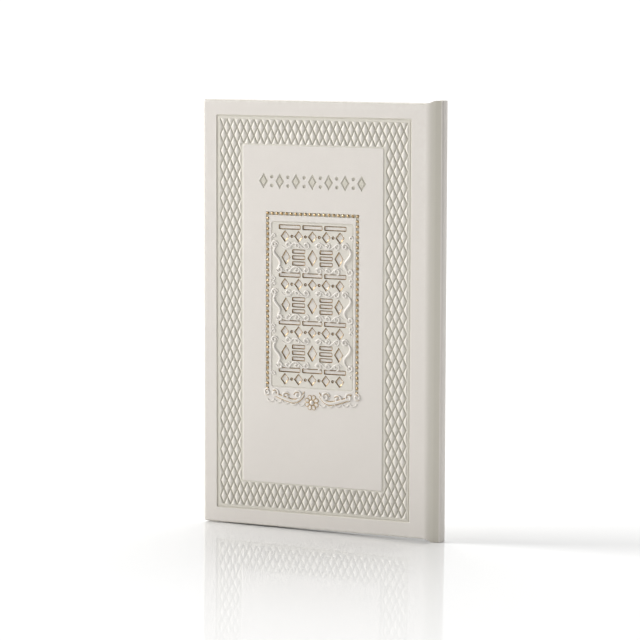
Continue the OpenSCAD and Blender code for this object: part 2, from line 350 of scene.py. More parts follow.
class Nodes:
    """Short names for building a material's nodes."""

    def __init__(self, name):
        self.material = bpy.data.materials.new(name)
        self.material.use_nodes = True
        self.tree = self.material.node_tree
        self.tree.nodes.clear()
        self.out = self.add("ShaderNodeOutputMaterial")
        self.shader = self.add("ShaderNodeBsdfPrincipled")
        self.link(self.shader, "BSDF", self.out, "Surface")
        rest = self.add("ShaderNodeAttribute", attribute_name="rest")
        self.place = (rest, "Vector")

    def add(self, kind, **props):
        node = self.tree.nodes.new(kind)
        for k, v in props.items():
            setattr(node, k, v)
        return node

    def link(self, a, sa, b, sb):
        self.tree.links.new(a.outputs[sa], b.inputs[sb])

    def use_object_place(self):
        """For CAD nodes, which carry no rest attribute and never bend."""
        self.place = (self.add("ShaderNodeTexCoord"), "Object")

    def set(self, **values):
        for k, v in values.items():
            self.shader.inputs[k.replace("_", " ")].default_value = v

    def scaled(self, scale):
        node = self.add("ShaderNodeMapping")
        node.inputs["Scale"].default_value = scale
        self.link(*self.place, node, "Vector")
        return node

    def noise(self, size, detail=3.0, roughness=0.5, stretch=(1, 1, 1)):
        """Noise with features of about size millimetres."""
        node = self.add("ShaderNodeTexNoise")
        node.inputs["Scale"].default_value = 1.0
        node.inputs["Detail"].default_value = detail
        node.inputs["Roughness"].default_value = roughness
        self.link(self.scaled([s / (size * MM) for s in stretch]), "Vector", node, "Vector")
        return node, "Fac"

    def cells(self, size):
        """Rounded cells of about size millimetres."""
        node = self.add("ShaderNodeTexVoronoi")
        node.inputs["Scale"].default_value = 1.0
        self.link(self.scaled([1 / (size * MM)] * 3), "Vector", node, "Vector")
        return node, "Distance"

    def wave(self, size, axis):
        """Straight bands of about size millimetres."""
        node = self.add("ShaderNodeTexWave", bands_direction=axis)
        node.inputs["Scale"].default_value = 1.0
        # one band of the wave texture is pi / 10 units long
        self.link(self.scaled([math.pi / 10 / (size * MM)] * 3), "Vector", node, "Vector")
        return node, "Fac"

    def attribute(self, name):
        return self.add("ShaderNodeAttribute", attribute_name=name), "Fac"

    def ramp(self, source, low, high, a=0.0, b=1.0):
        """Maps a value from the range low..high to a..b, clamped."""
        node = self.add("ShaderNodeMapRange")
        for k, v in zip(("From Min", "From Max", "To Min", "To Max"), (low, high, a, b)):
            node.inputs[k].default_value = v
        self.link(*source, node, "Value")
        return node, "Result"

    def maths(self, kind, a, b):
        node = self.add("ShaderNodeMath", operation=kind)
        for i, s in enumerate((a, b)):
            if isinstance(s, tuple):
                self.tree.links.new(s[0].outputs[s[1]], node.inputs[i])
            else:
                node.inputs[i].default_value = s
        return node, "Value"

    def mix(self, factor, a, b):
        """Colour mix: a and b are colours or sockets."""
        node = self.add("ShaderNodeMix", data_type="RGBA")
        self.tree.links.new(factor[0].outputs[factor[1]], node.inputs[0])
        for i, s in ((6, a), (7, b)):
            if isinstance(s[0], bpy.types.Node):
                self.tree.links.new(s[0].outputs[s[1]], node.inputs[i])
            else:
                node.inputs[i].default_value = (*s, 1.0)
        return node, 2

    def colour(self, source):
        self.tree.links.new(source[0].outputs[source[1]], self.shader.inputs["Base Color"])

    def roughness(self, source):
        self.tree.links.new(source[0].outputs[source[1]], self.shader.inputs["Roughness"])

    def bump(self, *layers):
        """Each layer is (source, depth in mm)."""
        normal = None
        for source, depth in layers:
            node = self.add("ShaderNodeBump")
            node.inputs["Strength"].default_value = 1.0
            node.inputs["Distance"].default_value = depth * MM
            self.link(*source, node, "Height")
            if normal:
                self.link(normal, "Normal", node, "Normal")
            normal = node
        self.link(normal, "Normal", self.shader, "Normal")


LEATHER = (0.765, 0.722, 0.672)
# painted shade: the darker, yellower colours of recessed and grooved leatherette
LEATHER_RECESS_SHADE = (0.70, 0.665, 0.585)
LEATHER_GROOVE_SHADE = (0.50, 0.47, 0.39)
LEATHER_WORN = (0.80, 0.765, 0.715)


def leather_material():
    """Cream polyurethane leatherette: fine grain and satin, darkened and yellowed by painted shade in its
    recesses, grooves and joints.
    """
    m = Nodes("leatherette")
    grain = m.cells(0.42)
    pores = m.noise(0.16, 2)
    cloud = m.ramp(m.noise(24, 2), 0.35, 0.65)
    mottle = m.ramp(m.noise(3.2, 4), 0.3, 0.7)
    base = m.mix(cloud, LEATHER, tuple(c * 0.985 for c in LEATHER))
    base = m.mix(m.maths("MULTIPLY", mottle, 0.25), base, tuple(c * 0.965 for c in LEATHER))
    # painted shade: darker with the level stored on each point, first towards the recess colour, then the
    # groove colour
    pressed = m.attribute("pressed")
    base = m.mix(m.ramp(pressed, 0.0, 1.0), base, LEATHER_RECESS_SHADE)
    base = m.mix(m.ramp(pressed, 1.1, 2.1), base, LEATHER_GROOVE_SHADE)
    worn = m.maths("MULTIPLY", m.attribute("wear"), m.ramp(m.noise(2.0, 4), 0.4, 0.62))
    base = m.mix(m.maths("MULTIPLY", worn, 0.6), base, LEATHER_WORN)
    m.colour(base)
    rough = m.ramp(m.noise(1.1, 4), 0.3, 0.7, 0.40, 0.52)
    rough = m.maths("SUBTRACT", rough, m.maths("MULTIPLY", worn, 0.1))
    m.roughness(rough)
    m.bump((grain, 0.012), (pores, 0.010), (mottle, 0.010))
    m.set(Specular_IOR_Level=0.45, Coat_Weight=0.06, Coat_Roughness=0.35)
    return m.material


GOLD = (0.47, 0.32, 0.155)
GOLD_PALE = (0.68, 0.52, 0.32)
GOLD_DARK = (0.10, 0.06, 0.025)


def gilt_material():
    """Hot-stamped foil: brushed by the grain beneath, dull in places, dark in random specks, and darkened
    by painted shade along the outer edge of each figure.
    """
    m = Nodes("gilt_foil")
    patch = m.ramp(m.noise(1.3, 4), 0.36, 0.64)
    specks = m.ramp(m.noise(0.35, 3), 0.45, 0.7)
    base = m.mix(patch, GOLD, GOLD_PALE)
    base = m.mix(m.maths("MULTIPLY", specks, 0.7), base, GOLD_DARK)
    # painted shade along the figures' outer edges
    m.colour(m.mix(m.ramp(m.attribute("burnt"), 0.0, 1.0, 0.0, 0.85), base, GOLD_DARK))
    m.roughness(m.ramp(m.noise(0.5, 3), 0.3, 0.7, 0.30, 0.50))
    m.bump((m.noise(0.25, 3), 0.015), (m.cells(0.42), 0.010))
    m.set(Metallic=1.0)
    return m.material


def paper_material(name, tint, shade):
    """Uncoated paper: cloudy fibre look-through, faint fibres and a soft tooth."""
    m = Nodes(name)
    cloud = m.ramp(m.noise(2.6, 4), 0.35, 0.65, 0.0, 0.5)
    fibre = m.noise(0.5, 5, 0.6, (1, 1, 0.25))
    base = m.mix(cloud, tint, shade)
    base = m.mix(m.ramp(fibre, 0.55, 0.75, 0.0, 0.35), base, tuple(c * 0.93 for c in shade))
    m.colour(base)
    m.roughness(m.ramp(fibre, 0.3, 0.7, 0.78, 0.92))
    m.bump((fibre, 0.010), (m.noise(0.12, 2), 0.006))
    m.set(Specular_IOR_Level=0.25)
    return m.material


def board_material(name, tint):
    """Grey recycled board: pressed fibres, flecks and a rough cut edge."""
    m = Nodes(name)
    m.use_object_place()
    fleck = m.ramp(m.cells(0.6), 0.15, 0.4)
    fibre = m.noise(0.4, 5, 0.65, (1, 1, 0.3))
    base = m.mix(m.ramp(fibre, 0.3, 0.7), tint, tuple(c * 0.8 for c in tint))
    base = m.mix(fleck, tuple(c * 0.55 for c in tint), base)
    m.colour(base)
    m.roughness(m.ramp(fibre, 0.3, 0.7, 0.85, 0.97))
    m.bump((fibre, 0.03), (m.noise(2.5, 3), 0.04))
    m.set(Specular_IOR_Level=0.2)
    return m.material


def gauze_material():
    """Open cotton weave."""
    m = Nodes("gauze")
    m.use_object_place()
    warp, weft = m.wave(0.45, "Y"), m.wave(0.45, "Z")
    weave = m.maths("MAXIMUM", warp, weft)
    m.colour(m.mix(weave, (0.42, 0.39, 0.32), (0.82, 0.80, 0.72)))
    m.roughness(m.ramp(weave, 0.0, 1.0, 0.95, 0.8))
    m.bump((weave, 0.12), (m.noise(0.1, 3), 0.02))
    m.set(Sheen_Weight=0.2)
    return m.material


def glue_material():
    """Set bookbinder's glue: amber, glossy and bubbled."""
    m = Nodes("glue")
    m.use_object_place()
    flow = m.ramp(m.noise(1.8, 4), 0.3, 0.7)
    m.colour(m.mix(flow, (0.76, 0.66, 0.42), (0.86, 0.79, 0.60)))
    m.roughness(m.ramp(m.noise(0.8, 3), 0.3, 0.7, 0.22, 0.45))
    m.bump((flow, 0.1), (m.cells(0.7), 0.04))
    m.set(Specular_IOR_Level=0.55)
    return m.material


def thread_material():
    """Waxed linen: two plies twisted together."""
    m = Nodes("thread")
    m.use_object_place()
    ply = m.wave(0.6, "DIAGONAL")
    m.colour(m.mix(ply, (0.62, 0.56, 0.45), (0.88, 0.84, 0.75)))
    m.roughness(m.ramp(ply, 0.0, 1.0, 0.7, 0.5))
    m.bump((ply, 0.08), (m.noise(0.08, 3), 0.02))
    m.set(Sheen_Weight=0.15)
    return m.material


LEATHER_MAT = leather_material()
GILT_MAT = gilt_material()
PAGE_MAT = paper_material("leaf_paper", (0.90, 0.875, 0.80), (0.86, 0.83, 0.745))
ENDPAPER_MAT = paper_material("endpaper", (0.86, 0.815, 0.715), (0.82, 0.77, 0.66))


# ---------- the cover's leatherette ----------

def cover_outline(margin, r, spine_margin=0.0, steps=6):
    """The cover seen from outside: margins from its edges, corners rounded at the fore-edge only."""
    left, right = -COVER_W / 2 + margin, COVER_W / 2 - spine_margin
    low, high = -COVER_H / 2 + margin, COVER_H / 2 - margin
    r = max(r, 0.01)
    out = [(right, low), (right, high)]
    cu = left + r
    for k, cv in ((1, high - r), (2, low + r)):
        for s in range(steps + 1):
            a = math.radians(90 * (k + s / steps))
            out.append((cu + r * math.cos(a), cv + r * math.sin(a)))
    return out


def cover_shell(relief):
    """Everything but the outer face: rounded edges, turned-in rim and the hollow for the board."""
    steps = 5
    turns = [math.pi / 2 * k / steps for k in range(steps + 1)]
    profile = [(EDGE_R * (1 - math.sin(a)), EDGE_R * (1 - math.cos(a))) for a in turns]
    profile += [(INNER_EDGE_R * (1 - math.cos(a)), CASE_T - INNER_EDGE_R * (1 - math.sin(a)))
                for a in turns]
    loops = [relief.loop(cover_outline(m, CORNER_R - m * 0.5), d, 1.0) for m, d in profile]
    thin = 0.3
    for margin, spine_margin, depth in (
            (TURNIN_W, thin, CASE_T), (TURNIN_W, thin, CASE_T - TURNIN_T),
            (SKIN_T, thin, CASE_T - TURNIN_T), (SKIN_T, thin, SKIN_T)):
        loops.append(relief.loop(cover_outline(margin, 0.2, spine_margin), depth))
    for a, b in zip(loops, loops[1:]):
        relief.bridge(a, b)
    relief.fill(loops[-1])
    inner = relief.loop(cover_outline(EDGE_R + 1.4, 0.3), 0.0)
    relief.bridge(loops[0], inner)
    return inner


def lattice_depth(p, q):
    """Depth at a point of the lattice, in half lozenges from its lower left corner."""
    i, j = math.floor(p), math.floor(q)
    x, y = p - i, q - j
    reach = min(x + y, 2 - x - y) if (i + j) % 2 == 0 else min(1 - x + y, 1 + x - y)
    t = reach * (len(LOZENGE) - 1)
    k = min(int(t + 1e-9), len(LOZENGE) - 2)
    return LOZENGE[k] + (LOZENGE[k + 1] - LOZENGE[k]) * (t - k)


def lattice(relief):
    """The band of pillow-shaped lozenges. Returns its outer and inner boundary loops."""
    half_w, half_h = COVER_W / 2 - BAND_MARGIN, COVER_H / 2 - BAND_MARGIN
    du = 2 * (half_w - LATTICE_GAP) / HALF_COLS
    dv = 2 * (half_h - LATTICE_GAP) / HALF_ROWS
    u0, v0 = -(half_w - LATTICE_GAP), -(half_h - LATTICE_GAP)
    cols, rows = HALF_COLS * CUTS, HALF_ROWS * CUTS
    band_c, band_r = BAND_COLS * CUTS, BAND_ROWS * CUTS
    index = {}

    def vertex(a, b):
        if (a, b) not in index:
            p, q = a / CUTS, b / CUTS
            index[a, b] = relief.add([(u0 + p * du, v0 + q * dv, lattice_depth(p, q))])[0]
        return index[a, b]

    for a in range(cols):
        for b in range(rows):
            if band_c <= a < cols - band_c and band_r <= b < rows - band_r:
                continue
            c = [vertex(a, b), vertex(a + 1, b), vertex(a + 1, b + 1), vertex(a, b + 1)]
            if (a // CUTS + b // CUTS) % 2 == 0:
                relief.faces += [(c[0], c[1], c[3]), (c[1], c[2], c[3])]
            else:
                relief.faces += [(c[0], c[1], c[2]), (c[0], c[2], c[3])]

    def walk(c0, r0, c1, r1):
        out = [(c, r0) for c in range(c0, c1)] + [(c1, r) for r in range(r0, r1)]
        out += [(c, r1) for c in range(c1, c0, -1)] + [(c0, r) for r in range(r1, r0, -1)]
        return [vertex(*p) for p in out]

    return walk(0, 0, cols, rows), walk(band_c, band_r, cols - band_c, rows - band_r)


def step_to_floor(relief, loop, dist):
    """A short slope from the cut edge of the lattice to the plain fillet beside it."""
    outline = [relief.points[i][:2] for i in loop]
    us, vs = [p[0] for p in outline], [p[1] for p in outline]
    cu, cv = (min(us) + max(us)) / 2, (min(vs) + max(vs)) / 2
    su = 1 + dist / ((max(us) - min(us)) / 2)
    sv = 1 + dist / ((max(vs) - min(vs)) / 2)
    out = relief.loop([(cu + (u - cu) * su, cv + (v - cv) * sv) for u, v in outline], BAND_FLOOR)
    relief.bridge(loop, out)
    return out


def tooled_band(relief, margin_loop):
    """Joins the margin to the band and its lattice, and returns the edge of the middle field."""
    half_w, half_h = COVER_W / 2 - BAND_MARGIN, COVER_H / 2 - BAND_MARGIN
    profile = ((0.0, 0.0), (0.10, 0.03), (0.22, 0.30), (0.34, LINE_DEPTH), (0.62, LINE_DEPTH),
               (0.74, BAND_FLOOR + 0.03), (0.84, BAND_FLOOR))
    # painted shade of the tooled line by its depth, no darker than the recess colour
    loops = [relief.loop(rounded_rect(half_w - i, half_h - i, max(BAND_R - i, 0.15)), d,
                         tone=min(1.0, d / BAND_FLOOR)) for i, d in profile]
    relief.fill(margin_loop, [loops[0]])
    for a, b in zip(loops, loops[1:]):
        relief.bridge(a, b)
    outer, inner = lattice(relief)
    relief.fill(loops[-1], [step_to_floor(relief, outer, 0.12)])
    field_w, field_h = half_w - BAND_W, half_h - BAND_W
    rise = ((0.34, BAND_FLOOR), (0.26, BAND_FLOOR - 0.02), (0.10, 0.03), (0.0, 0.0))
    ups = [relief.loop(rounded_rect(field_w + i, field_h + i, 0.4 + i), d) for i, d in rise]
    relief.fill(step_to_floor(relief, inner, -0.12), [ups[0]])
    for a, b in zip(ups, ups[1:]):
        relief.bridge(a, b)
    return ups[-1]


# ---------- the front cover's stamped ornament ----------

DEBOSS = ((0.0, 0.0), (0.05, 0.03), (0.22, 0.36), (0.32, 0.42), (0.42, 0.42))
BLIND_RING = (*DEBOSS[:4], (0.62, 0.42), (0.84, 0.10), (0.92, 0.06))   # with a raised middle
WALL = ((0.0, 0.0), (0.06, 0.05), (0.14, 0.13), (0.22, 0.20), (0.38, 0.31))
STROKE = (*WALL, (0.44, 0.32), (0.58, 0.28))      # a debossed figure with a soft floor
FIGURE_FLOOR_SHADE = 0.1      # only slight painted shade on the floor of a gilt figure, which stays about as pale as plain leatherette
# painted shade in the blind-stamped figures
BLIND_SHADE = 1.4
# painted shade in the bead channel, nearly as dark as a groove
CHANNEL_SHADE = 1.9


def row_figures(kind, v):
    """One row of the panel, a frieze: lozenges with single dots between them under a row of bars,
    or lozenges with stacks of bars between them. Everything has its mirror image."""
    top, low = v + 2.45, v - 1.15
    if kind == 0:
        figures = [bar(0, top, 8.6, 1.9), lozenge(1.9, 2.3, (0, low))]
        half = [(bar, 9.8, top, 9.4, 1.9), (lozenge, 5.9, low, 1.9, 2.3), (lozenge, 11.8, low, 1.9, 2.3)]
        half += [(disc, u, low, 0.62) for u in (2.95, 8.85)]
    else:
        figures = [lozenge(2.1, 3.3, (0, v))]
        half = [(bar, 5.9, v + dv, 5.6, 1.7) for dv in (-2.35, 0.0, 2.35)]
        half += [(lozenge, 11.4, v, 1.9, 3.0)]
    for shape, u, mid, *size in half:
        for side in (-1, 1):
            centre = (side * u, mid)
            figures.append(bar(*centre, *size) if shape is bar else shape(*size, centre))
    return figures


def moved(outline, du, dv):
    return [(u + du, v + dv) for u, v in outline]


def spiral(cu, cv, r, turns, start, hand, steps=26):
    """A scroll that winds in to its eye."""
    out = []
    for k in range(steps + 1):
        t = k / steps
        a = start + hand * math.tau * turns * t
        rr = r * (1 - t) ** 0.8 + 0.12
        out.append((cu + rr * math.cos(a), cv + rr * math.sin(a)))
    return out


def wave_path(u0, v0, u1, v1, amp, waves, steps=30):
    """A wavy stem from one point to another."""
    du, dv = u1 - u0, v1 - v0
    length = math.hypot(du, dv)
    nu, nv = -dv / length, du / length
    out = []
    for k in range(steps + 1):
        t = k / steps
        s = amp * math.sin(math.tau * waves * t)
        out.append((u0 + du * t + nu * s, v0 + dv * t + nv * s))
    return out


def filigree(relief, panel_v, pitch):
    """Plain scrollwork between the rows and up both sides of the panel."""
    for k in range(ROWS - 1):
        v = panel_v + (k - (ROWS - 2) / 2) * pitch
        hand = 1 if k % 2 else -1
        for side in (-1, 1):
            s = side * hand
            for cu, r in ((2.6, 1.25), (6.6, 1.05), (10.4, 1.3)):
                path = spiral(side * cu, v + 0.15 * hand, r, 1.25, math.pi / 2 * s, -s)
                tube(relief, path, 0.40, PANEL_DEPTH, 0.85)
            stem = wave_path(side * 1.0, v, side * 13.2, v, 1.15, 1.5)
            tube(relief, stem, 0.36, PANEL_DEPTH, 0.8)
    for side in (-1, 1):
        for k in range(ROWS // 2):
            v = panel_v + (k - 1) * pitch * 2
            stem = wave_path(side * 15.2, v - 4.6, side * 15.2, v + 4.6, side * 1.35, 1.0)
            tube(relief, stem, 0.62, PANEL_DEPTH, 0.75)
            for end in (-1, 1):
                path = spiral(side * 15.2 - end * 1.1, v + end * 4.9, 1.3, 1.3,
                              0.0 if end > 0 else math.pi, 1)
                tube(relief, path, 0.50, PANEL_DEPTH, 0.8)
                path = spiral(side * 16.6, v + end * 8.3, 0.8, 1.2, -end * math.pi / 2, side * end)
                tube(relief, path, 0.34, PANEL_DEPTH, 0.8)


def petals(count, r_in, r_out, centre):
    """Petal outlines around a centre."""
    out = []
    for k in range(count):
        a = math.tau * (k + 0.5) / count
        c = ((r_in + r_out) / 2 * math.cos(a) + centre[0],
             (r_in + r_out) / 2 * math.sin(a) + centre[1])
        half_l, half_w = (r_out - r_in) / 2, math.pi * r_out / count * 0.62
        ring = []
        for s in range(14):
            b = math.tau * s / 14
            x, y = half_l * math.cos(b), half_w * math.sin(b) * (1 + 0.25 * math.cos(b))
            ring.append((c[0] + x * math.cos(a) - y * math.sin(a),
                         c[1] + x * math.sin(a) + y * math.cos(a)))
        out.append(ring)
    return out


def crest(relief, gilt, centre_v):
    """Swags and a rosette below the panel: gilt lines on both edges of plain leafy scrolls."""
    for ring in petals(8, 1.15, 3.0, (0.0, centre_v)):
        loops = [relief.loop(inset(ring, i), d) for i, d in
                 ((0.0, 0.01), (0.12, -0.14), (0.30, -0.26), (0.42, -0.20))]
        base = relief.loop(ring, 0.10)
        relief.bridge(base, loops[0])
        for a, b in zip(loops, loops[1:]):
            relief.bridge(a, b)
        relief.fill(loops[-1])
        relief.faces.append(tuple(base))
        tube(gilt, ring + ring[:1], 0.17, -0.02, 1.0, 6, 1.0)
    dome(relief, (0.0, centre_v), 0.95, 0.45, 0.0)
    tube(gilt, circle(1.0, (0.0, centre_v), 18) + [(1.0, centre_v)], 0.12, -0.05, 1.0, 6, 1.0)
    for side in (-1, 1):
        top = centre_v + 3.4
        stem = [(side * (3.2 + 13.8 * t), top - 2.9 * math.sin(math.pi * t) ** 0.8
                 - 1.2 * math.sin(math.tau * t) * (1 - t))
                for t in [k / 30 for k in range(31)]]
        tube(relief, stem, 0.78, 0.02, 0.62)
        for shift in (-0.72, 0.72):
            tube(gilt, moved(stem, 0, shift), 0.24, 0.0, 1.1, 6, 0.7)
        for cu, cv, r, hand, start in ((6.0, 2.6, 1.7, 1, 0.2), (11.2, 1.9, 1.6, -1, 2.6),
                                       (15.9, 2.9, 1.5, 1, 0.9), (19.3, 3.2, 1.25, -1, 2.0)):
            a = start if side > 0 else math.pi - start
            path = spiral(side * cu, centre_v + cv, r, 1.35, a, hand * side)
            tube(relief, path, 0.50, 0.02, 0.8)
            tube(gilt, moved(path[:18], 0, -0.36), 0.20, -0.02, 1.2, 6, 0.7)
        for k in range(5):
            cu = 4.6 + 3.3 * k
            arc = [(side * (cu + 1.5 * math.cos(a)), centre_v - 0.2 + 0.25 * k - 1.3 * math.sin(a))
                   for a in [math.pi * s / 10 for s in range(11)]]
            tube(relief, arc, 0.40, 0.02, 0.8)


def blind_row(relief, centre_v):
    """Blind-stamped row in place of a title: lozenges and dots by turns."""
    holes = []
    for i in range(-6, 7):
        u = i * 3.5
        if i % 2 == 0:
            holes.append(stamp(relief, lozenge(2.0, 3.2, (u, centre_v)), 0.0, BLIND_RING, BLIND_SHADE))
        else:
            for dv in (-1.7, 1.7):
                holes.append(stamp(relief, disc(0.8, (u, centre_v + dv), 14), 0.0, DEBOSS, BLIND_SHADE))
    return holes


def u_channel(bead_w, bead_top, foot):
    """Outline of the channel that holds the beads: up one side, across the top and down."""
    o, h = CHANNEL_W / 2, bead_w / 2
    return [(-h - o, foot), (-h + o, foot), (-h + o, bead_top - o), (h - o, bead_top - o),
            (h - o, foot), (h + o, foot), (h + o, bead_top + o), (-h - o, bead_top + o)]


def front_cover():
    relief, gilt = Relief(), Relief()
    field = tooled_band(relief, cover_shell(relief))
    bead_w = BEAD_HI.x - BEAD_LO.x - BEAD_D
    bead_foot = BEAD_LO.z + BEAD_D / 2 - MID_Z
    bead_top = BEAD_HI.z - BEAD_D / 2 - MID_Z
    panel_v = (ROW_LO.z + ROW_HI.z) / 2 - MID_Z
    crest_v = CREST_LO.z - MID_Z + CREST_DROP

    holes = blind_row(relief, BLIND_V)
    channel = u_channel(bead_w, bead_top, bead_foot - CHANNEL_W / 2)
    wall = ((0.0, 0.0), (0.05, 0.02), (0.13, 0.19), (0.20, CHANNEL_DEPTH))
    holes.append(stamp(relief, plain(channel), 0.0, wall, CHANNEL_SHADE))

    panel = rounded_rect(PANEL_W / 2, PANEL_H / 2, PANEL_R, 3, (0.0, panel_v))
    sink = ((0.0, 0.0), (0.08, 0.03), (0.20, 0.22), (0.34, 0.26), (0.46, 0.24), (0.58, PANEL_DEPTH))
    loops = [relief.loop(inset(panel, i), d) for i, d in sink]
    for a, b in zip(loops, loops[1:]):
        relief.bridge(a, b)
    holes.append(loops[0])
    pitch = PANEL_H / ROWS
    figures = []
    for k in range(ROWS):
        for shape in row_figures(k % 2, panel_v + (k - (ROWS - 1) / 2) * pitch):
            figures.append(stamp(relief, shape, PANEL_DEPTH, STROKE, FIGURE_FLOOR_SHADE))
            foil_band(gilt, shape, PANEL_DEPTH, WALL)
    relief.fill(loops[-1], figures)
    relief.fill(field, holes)

    scrolls, crest_gilt = Relief(), Relief()
    filigree(scrolls, panel_v, pitch)
    crest(scrolls, crest_gilt, crest_v)

    beads = Relief()
    cols, rows = round(bead_w / BEAD_PITCH), round((bead_top - bead_foot) / BEAD_PITCH)
    places = [(-bead_w / 2 + bead_w * i / cols, bead_top) for i in range(cols + 1)]
    places += [(side * bead_w / 2, bead_foot + (bead_top - bead_foot) * j / rows)
               for j in range(rows) for side in (-1, 1)]
    for p in places:
        dome(beads, p, BEAD_D / 2, BEAD_RISE, CHANNEL_DEPTH)

    cover = make_mesh("front_cover_leather", relief.place(-1), relief.faces, LEATHER_MAT,
                      "front_cover", wear=relief.wear, pressed=relief.tone)
    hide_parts("front_cover_skin")
    extra = make_mesh("front_filigree", scrolls.place(-1), scrolls.faces, LEATHER_MAT,
                      "front_cover", sharp=60, pressed=scrolls.tone)
    for name, part, node in (("gilt_figures", gilt, "gilt_panel_ornament"),
                             ("gilt_beads", beads, "gilt_bead_frame"),
                             ("gilt_swags", crest_gilt, "gilt_crest")):
        # painted shade only along the edges of the panel's figures
        burnt = part.tone if part is gilt else [0.0] * len(part.points)
        obj = make_mesh(name, part.place(-1), part.faces, GILT_MAT, "front_cover", sharp=60,
                        burnt=burnt)
        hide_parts(node)


def back_cover():
    relief = Relief()
    field = tooled_band(relief, cover_shell(relief))
    relief.fill(field)
    cover = make_mesh("back_cover_leather", relief.place(1), relief.faces, LEATHER_MAT,
                      "back_cover", wear=relief.wear, pressed=relief.tone)
    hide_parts("back_cover_skin")


# ---------- joints and spine ----------

SHOULDER_W = 2.3      # width over which the leatherette turns down from the board
RISE_W = 4.0
FOLD_W = 1.6          # width next to the hinge where the joint has close cross-sections
JOINT_SHADE = 1.3      # how strong the painted shade on the joint gets, growing over RISE_W from the board


def joint_surface(x):
    """Outer surface of the joint: it turns down from the board, then slopes to the hinge line."""
    t = x - BOARD_X
    slope = (HINGE_Y - FACE_Y) / (HINGE_X - BOARD_X - SHOULDER_W / 2)
    if t < SHOULDER_W:
        return FACE_Y + slope * t * t / (2 * SHOULDER_W)
    return FACE_Y + slope * (t - SHOULDER_W / 2)


def joint_top(x):
    """Height of the joint's head: from the board's head to the spine's."""
    t = min(1.0, (x - BOARD_X) / RISE_W)
    return SKIN_HI.z + (SPINE_HI.z - SKIN_HI.z) * (1 - math.cos(math.pi * t)) / 2


def joint(name, side):
    """The leatherette between a board and the spine, one closed sheet with rolled ends."""
    coarse, fine, roll = 16, 14, 5
    xs = [BOARD_X + (HINGE_X - FOLD_W - BOARD_X) * k / coarse for k in range(coarse)]
    xs += [HINGE_X - FOLD_W + FOLD_W * k / fine for k in range(fine + 1)]
    points, faces, wear, pressed = [], [], [], []
    total = SPINE_HI.z + SPINE_LO.z
    for x in xs:
        y, top = joint_surface(x), joint_top(x)
        bottom = total - top
        t = min(1.0, (x - BOARD_X) / RISE_W)
        rz = EDGE_R + (0.35 - EDGE_R) * t
        ry = SKIN_T / 2
        ring = []
        for k in range(roll + 1):
            a = math.pi * k / roll
            ring.append((y + ry - ry * math.cos(a), top - rz + rz * math.sin(a)))
        for k in range(roll + 1):
            a = math.pi * k / roll
            ring.append((y + ry + ry * math.cos(a), bottom + rz - rz * math.sin(a)))
        points += [(x, side * -py, pz) for py, pz in ring]
        wear += [0.3 if 0 < k < roll else 0.0 for _ in range(2) for k in range(roll + 1)]
        # painted shade, growing from the board's edge
        pressed += [JOINT_SHADE * t] * len(ring)
    n = 2 * (roll + 1)
    for s in range(len(xs) - 1):
        faces += [(s * n + k, s * n + (k + 1) % n, (s + 1) * n + (k + 1) % n, (s + 1) * n + k)
                  for k in range(n)]
    faces += [tuple(range(n)), tuple(range((len(xs) - 1) * n, len(xs) * n))]
    obj = make_mesh(name + "_joint_leather", points, faces, LEATHER_MAT, wear=wear, pressed=pressed)
    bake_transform(obj)
    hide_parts(name + "_joint")


def spine():
    """The spine's leatherette: a crowned channel, rolled over the card at the head and the tail."""
    half = HINGE["back_cover"].y
    r, crown = 0.8, 0.12
    flat = SPINE_HI.x - crown
    outer = [(HINGE_X, -half)]
    outer += [(flat - r + r * math.sin(a), -half + r - r * math.cos(a))
              for a in [math.pi / 2 * k / 8 for k in range(9)]]
    span = half - r
    outer += [(flat + crown * math.cos(math.pi / 2 * y / span), y)
              for y in [span * (k / 6) for k in range(-5, 6)]]
    outer += [(x, -y) for x, y in outer[9::-1]]
    inner = []
    n = len(outer)
    for i in range(n):
        p, q = Vector(outer[max(i - 1, 0)]), Vector(outer[min(i + 1, n - 1)])
        d = (q - p).normalized()
        inner.append((outer[i][0] - d.y * SKIN_T, outer[i][1] + d.x * SKIN_T))
    inner = [(max(x, HINGE_X), y) for x, y in inner]
    total = SPINE_HI.z
    roll = 5
    r_end = SKIN_T / 2
    points, faces, wear = [], [], []
    for a, b in zip(outer, inner):
        ring = []
        for end in (1, -1):
            for k in range(roll + 1):
                c = math.pi * k / roll
                t = (1 - math.cos(c)) / 2 if end > 0 else (1 + math.cos(c)) / 2
                z = total - r_end + r_end * math.sin(c) if end > 0 else r_end - r_end * math.sin(c)
                ring.append((a[0] + (b[0] - a[0]) * t, a[1] + (b[1] - a[1]) * t, z))
                wear.append(0.6 if 0 < k < roll else 0.1)
        points += ring
    m = 2 * (roll + 1)
    for s in range(n - 1):
        faces += [(s * m + k, s * m + (k + 1) % m, (s + 1) * m + (k + 1) % m, (s + 1) * m + k)
                  for k in range(m)]
    faces += [tuple(range(m)), tuple(range((n - 1) * m, n * m))]
    obj = make_mesh("spine_leather", points, faces, LEATHER_MAT, "spine", wear=wear)
    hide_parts("spine_skin")


# ---------- paper ----------

LEAF_BEND = 5.0       # width at a leaf's root with close cross-sections
LEAF_CORNER = 0.5     # how much the fore-edge corners are cut


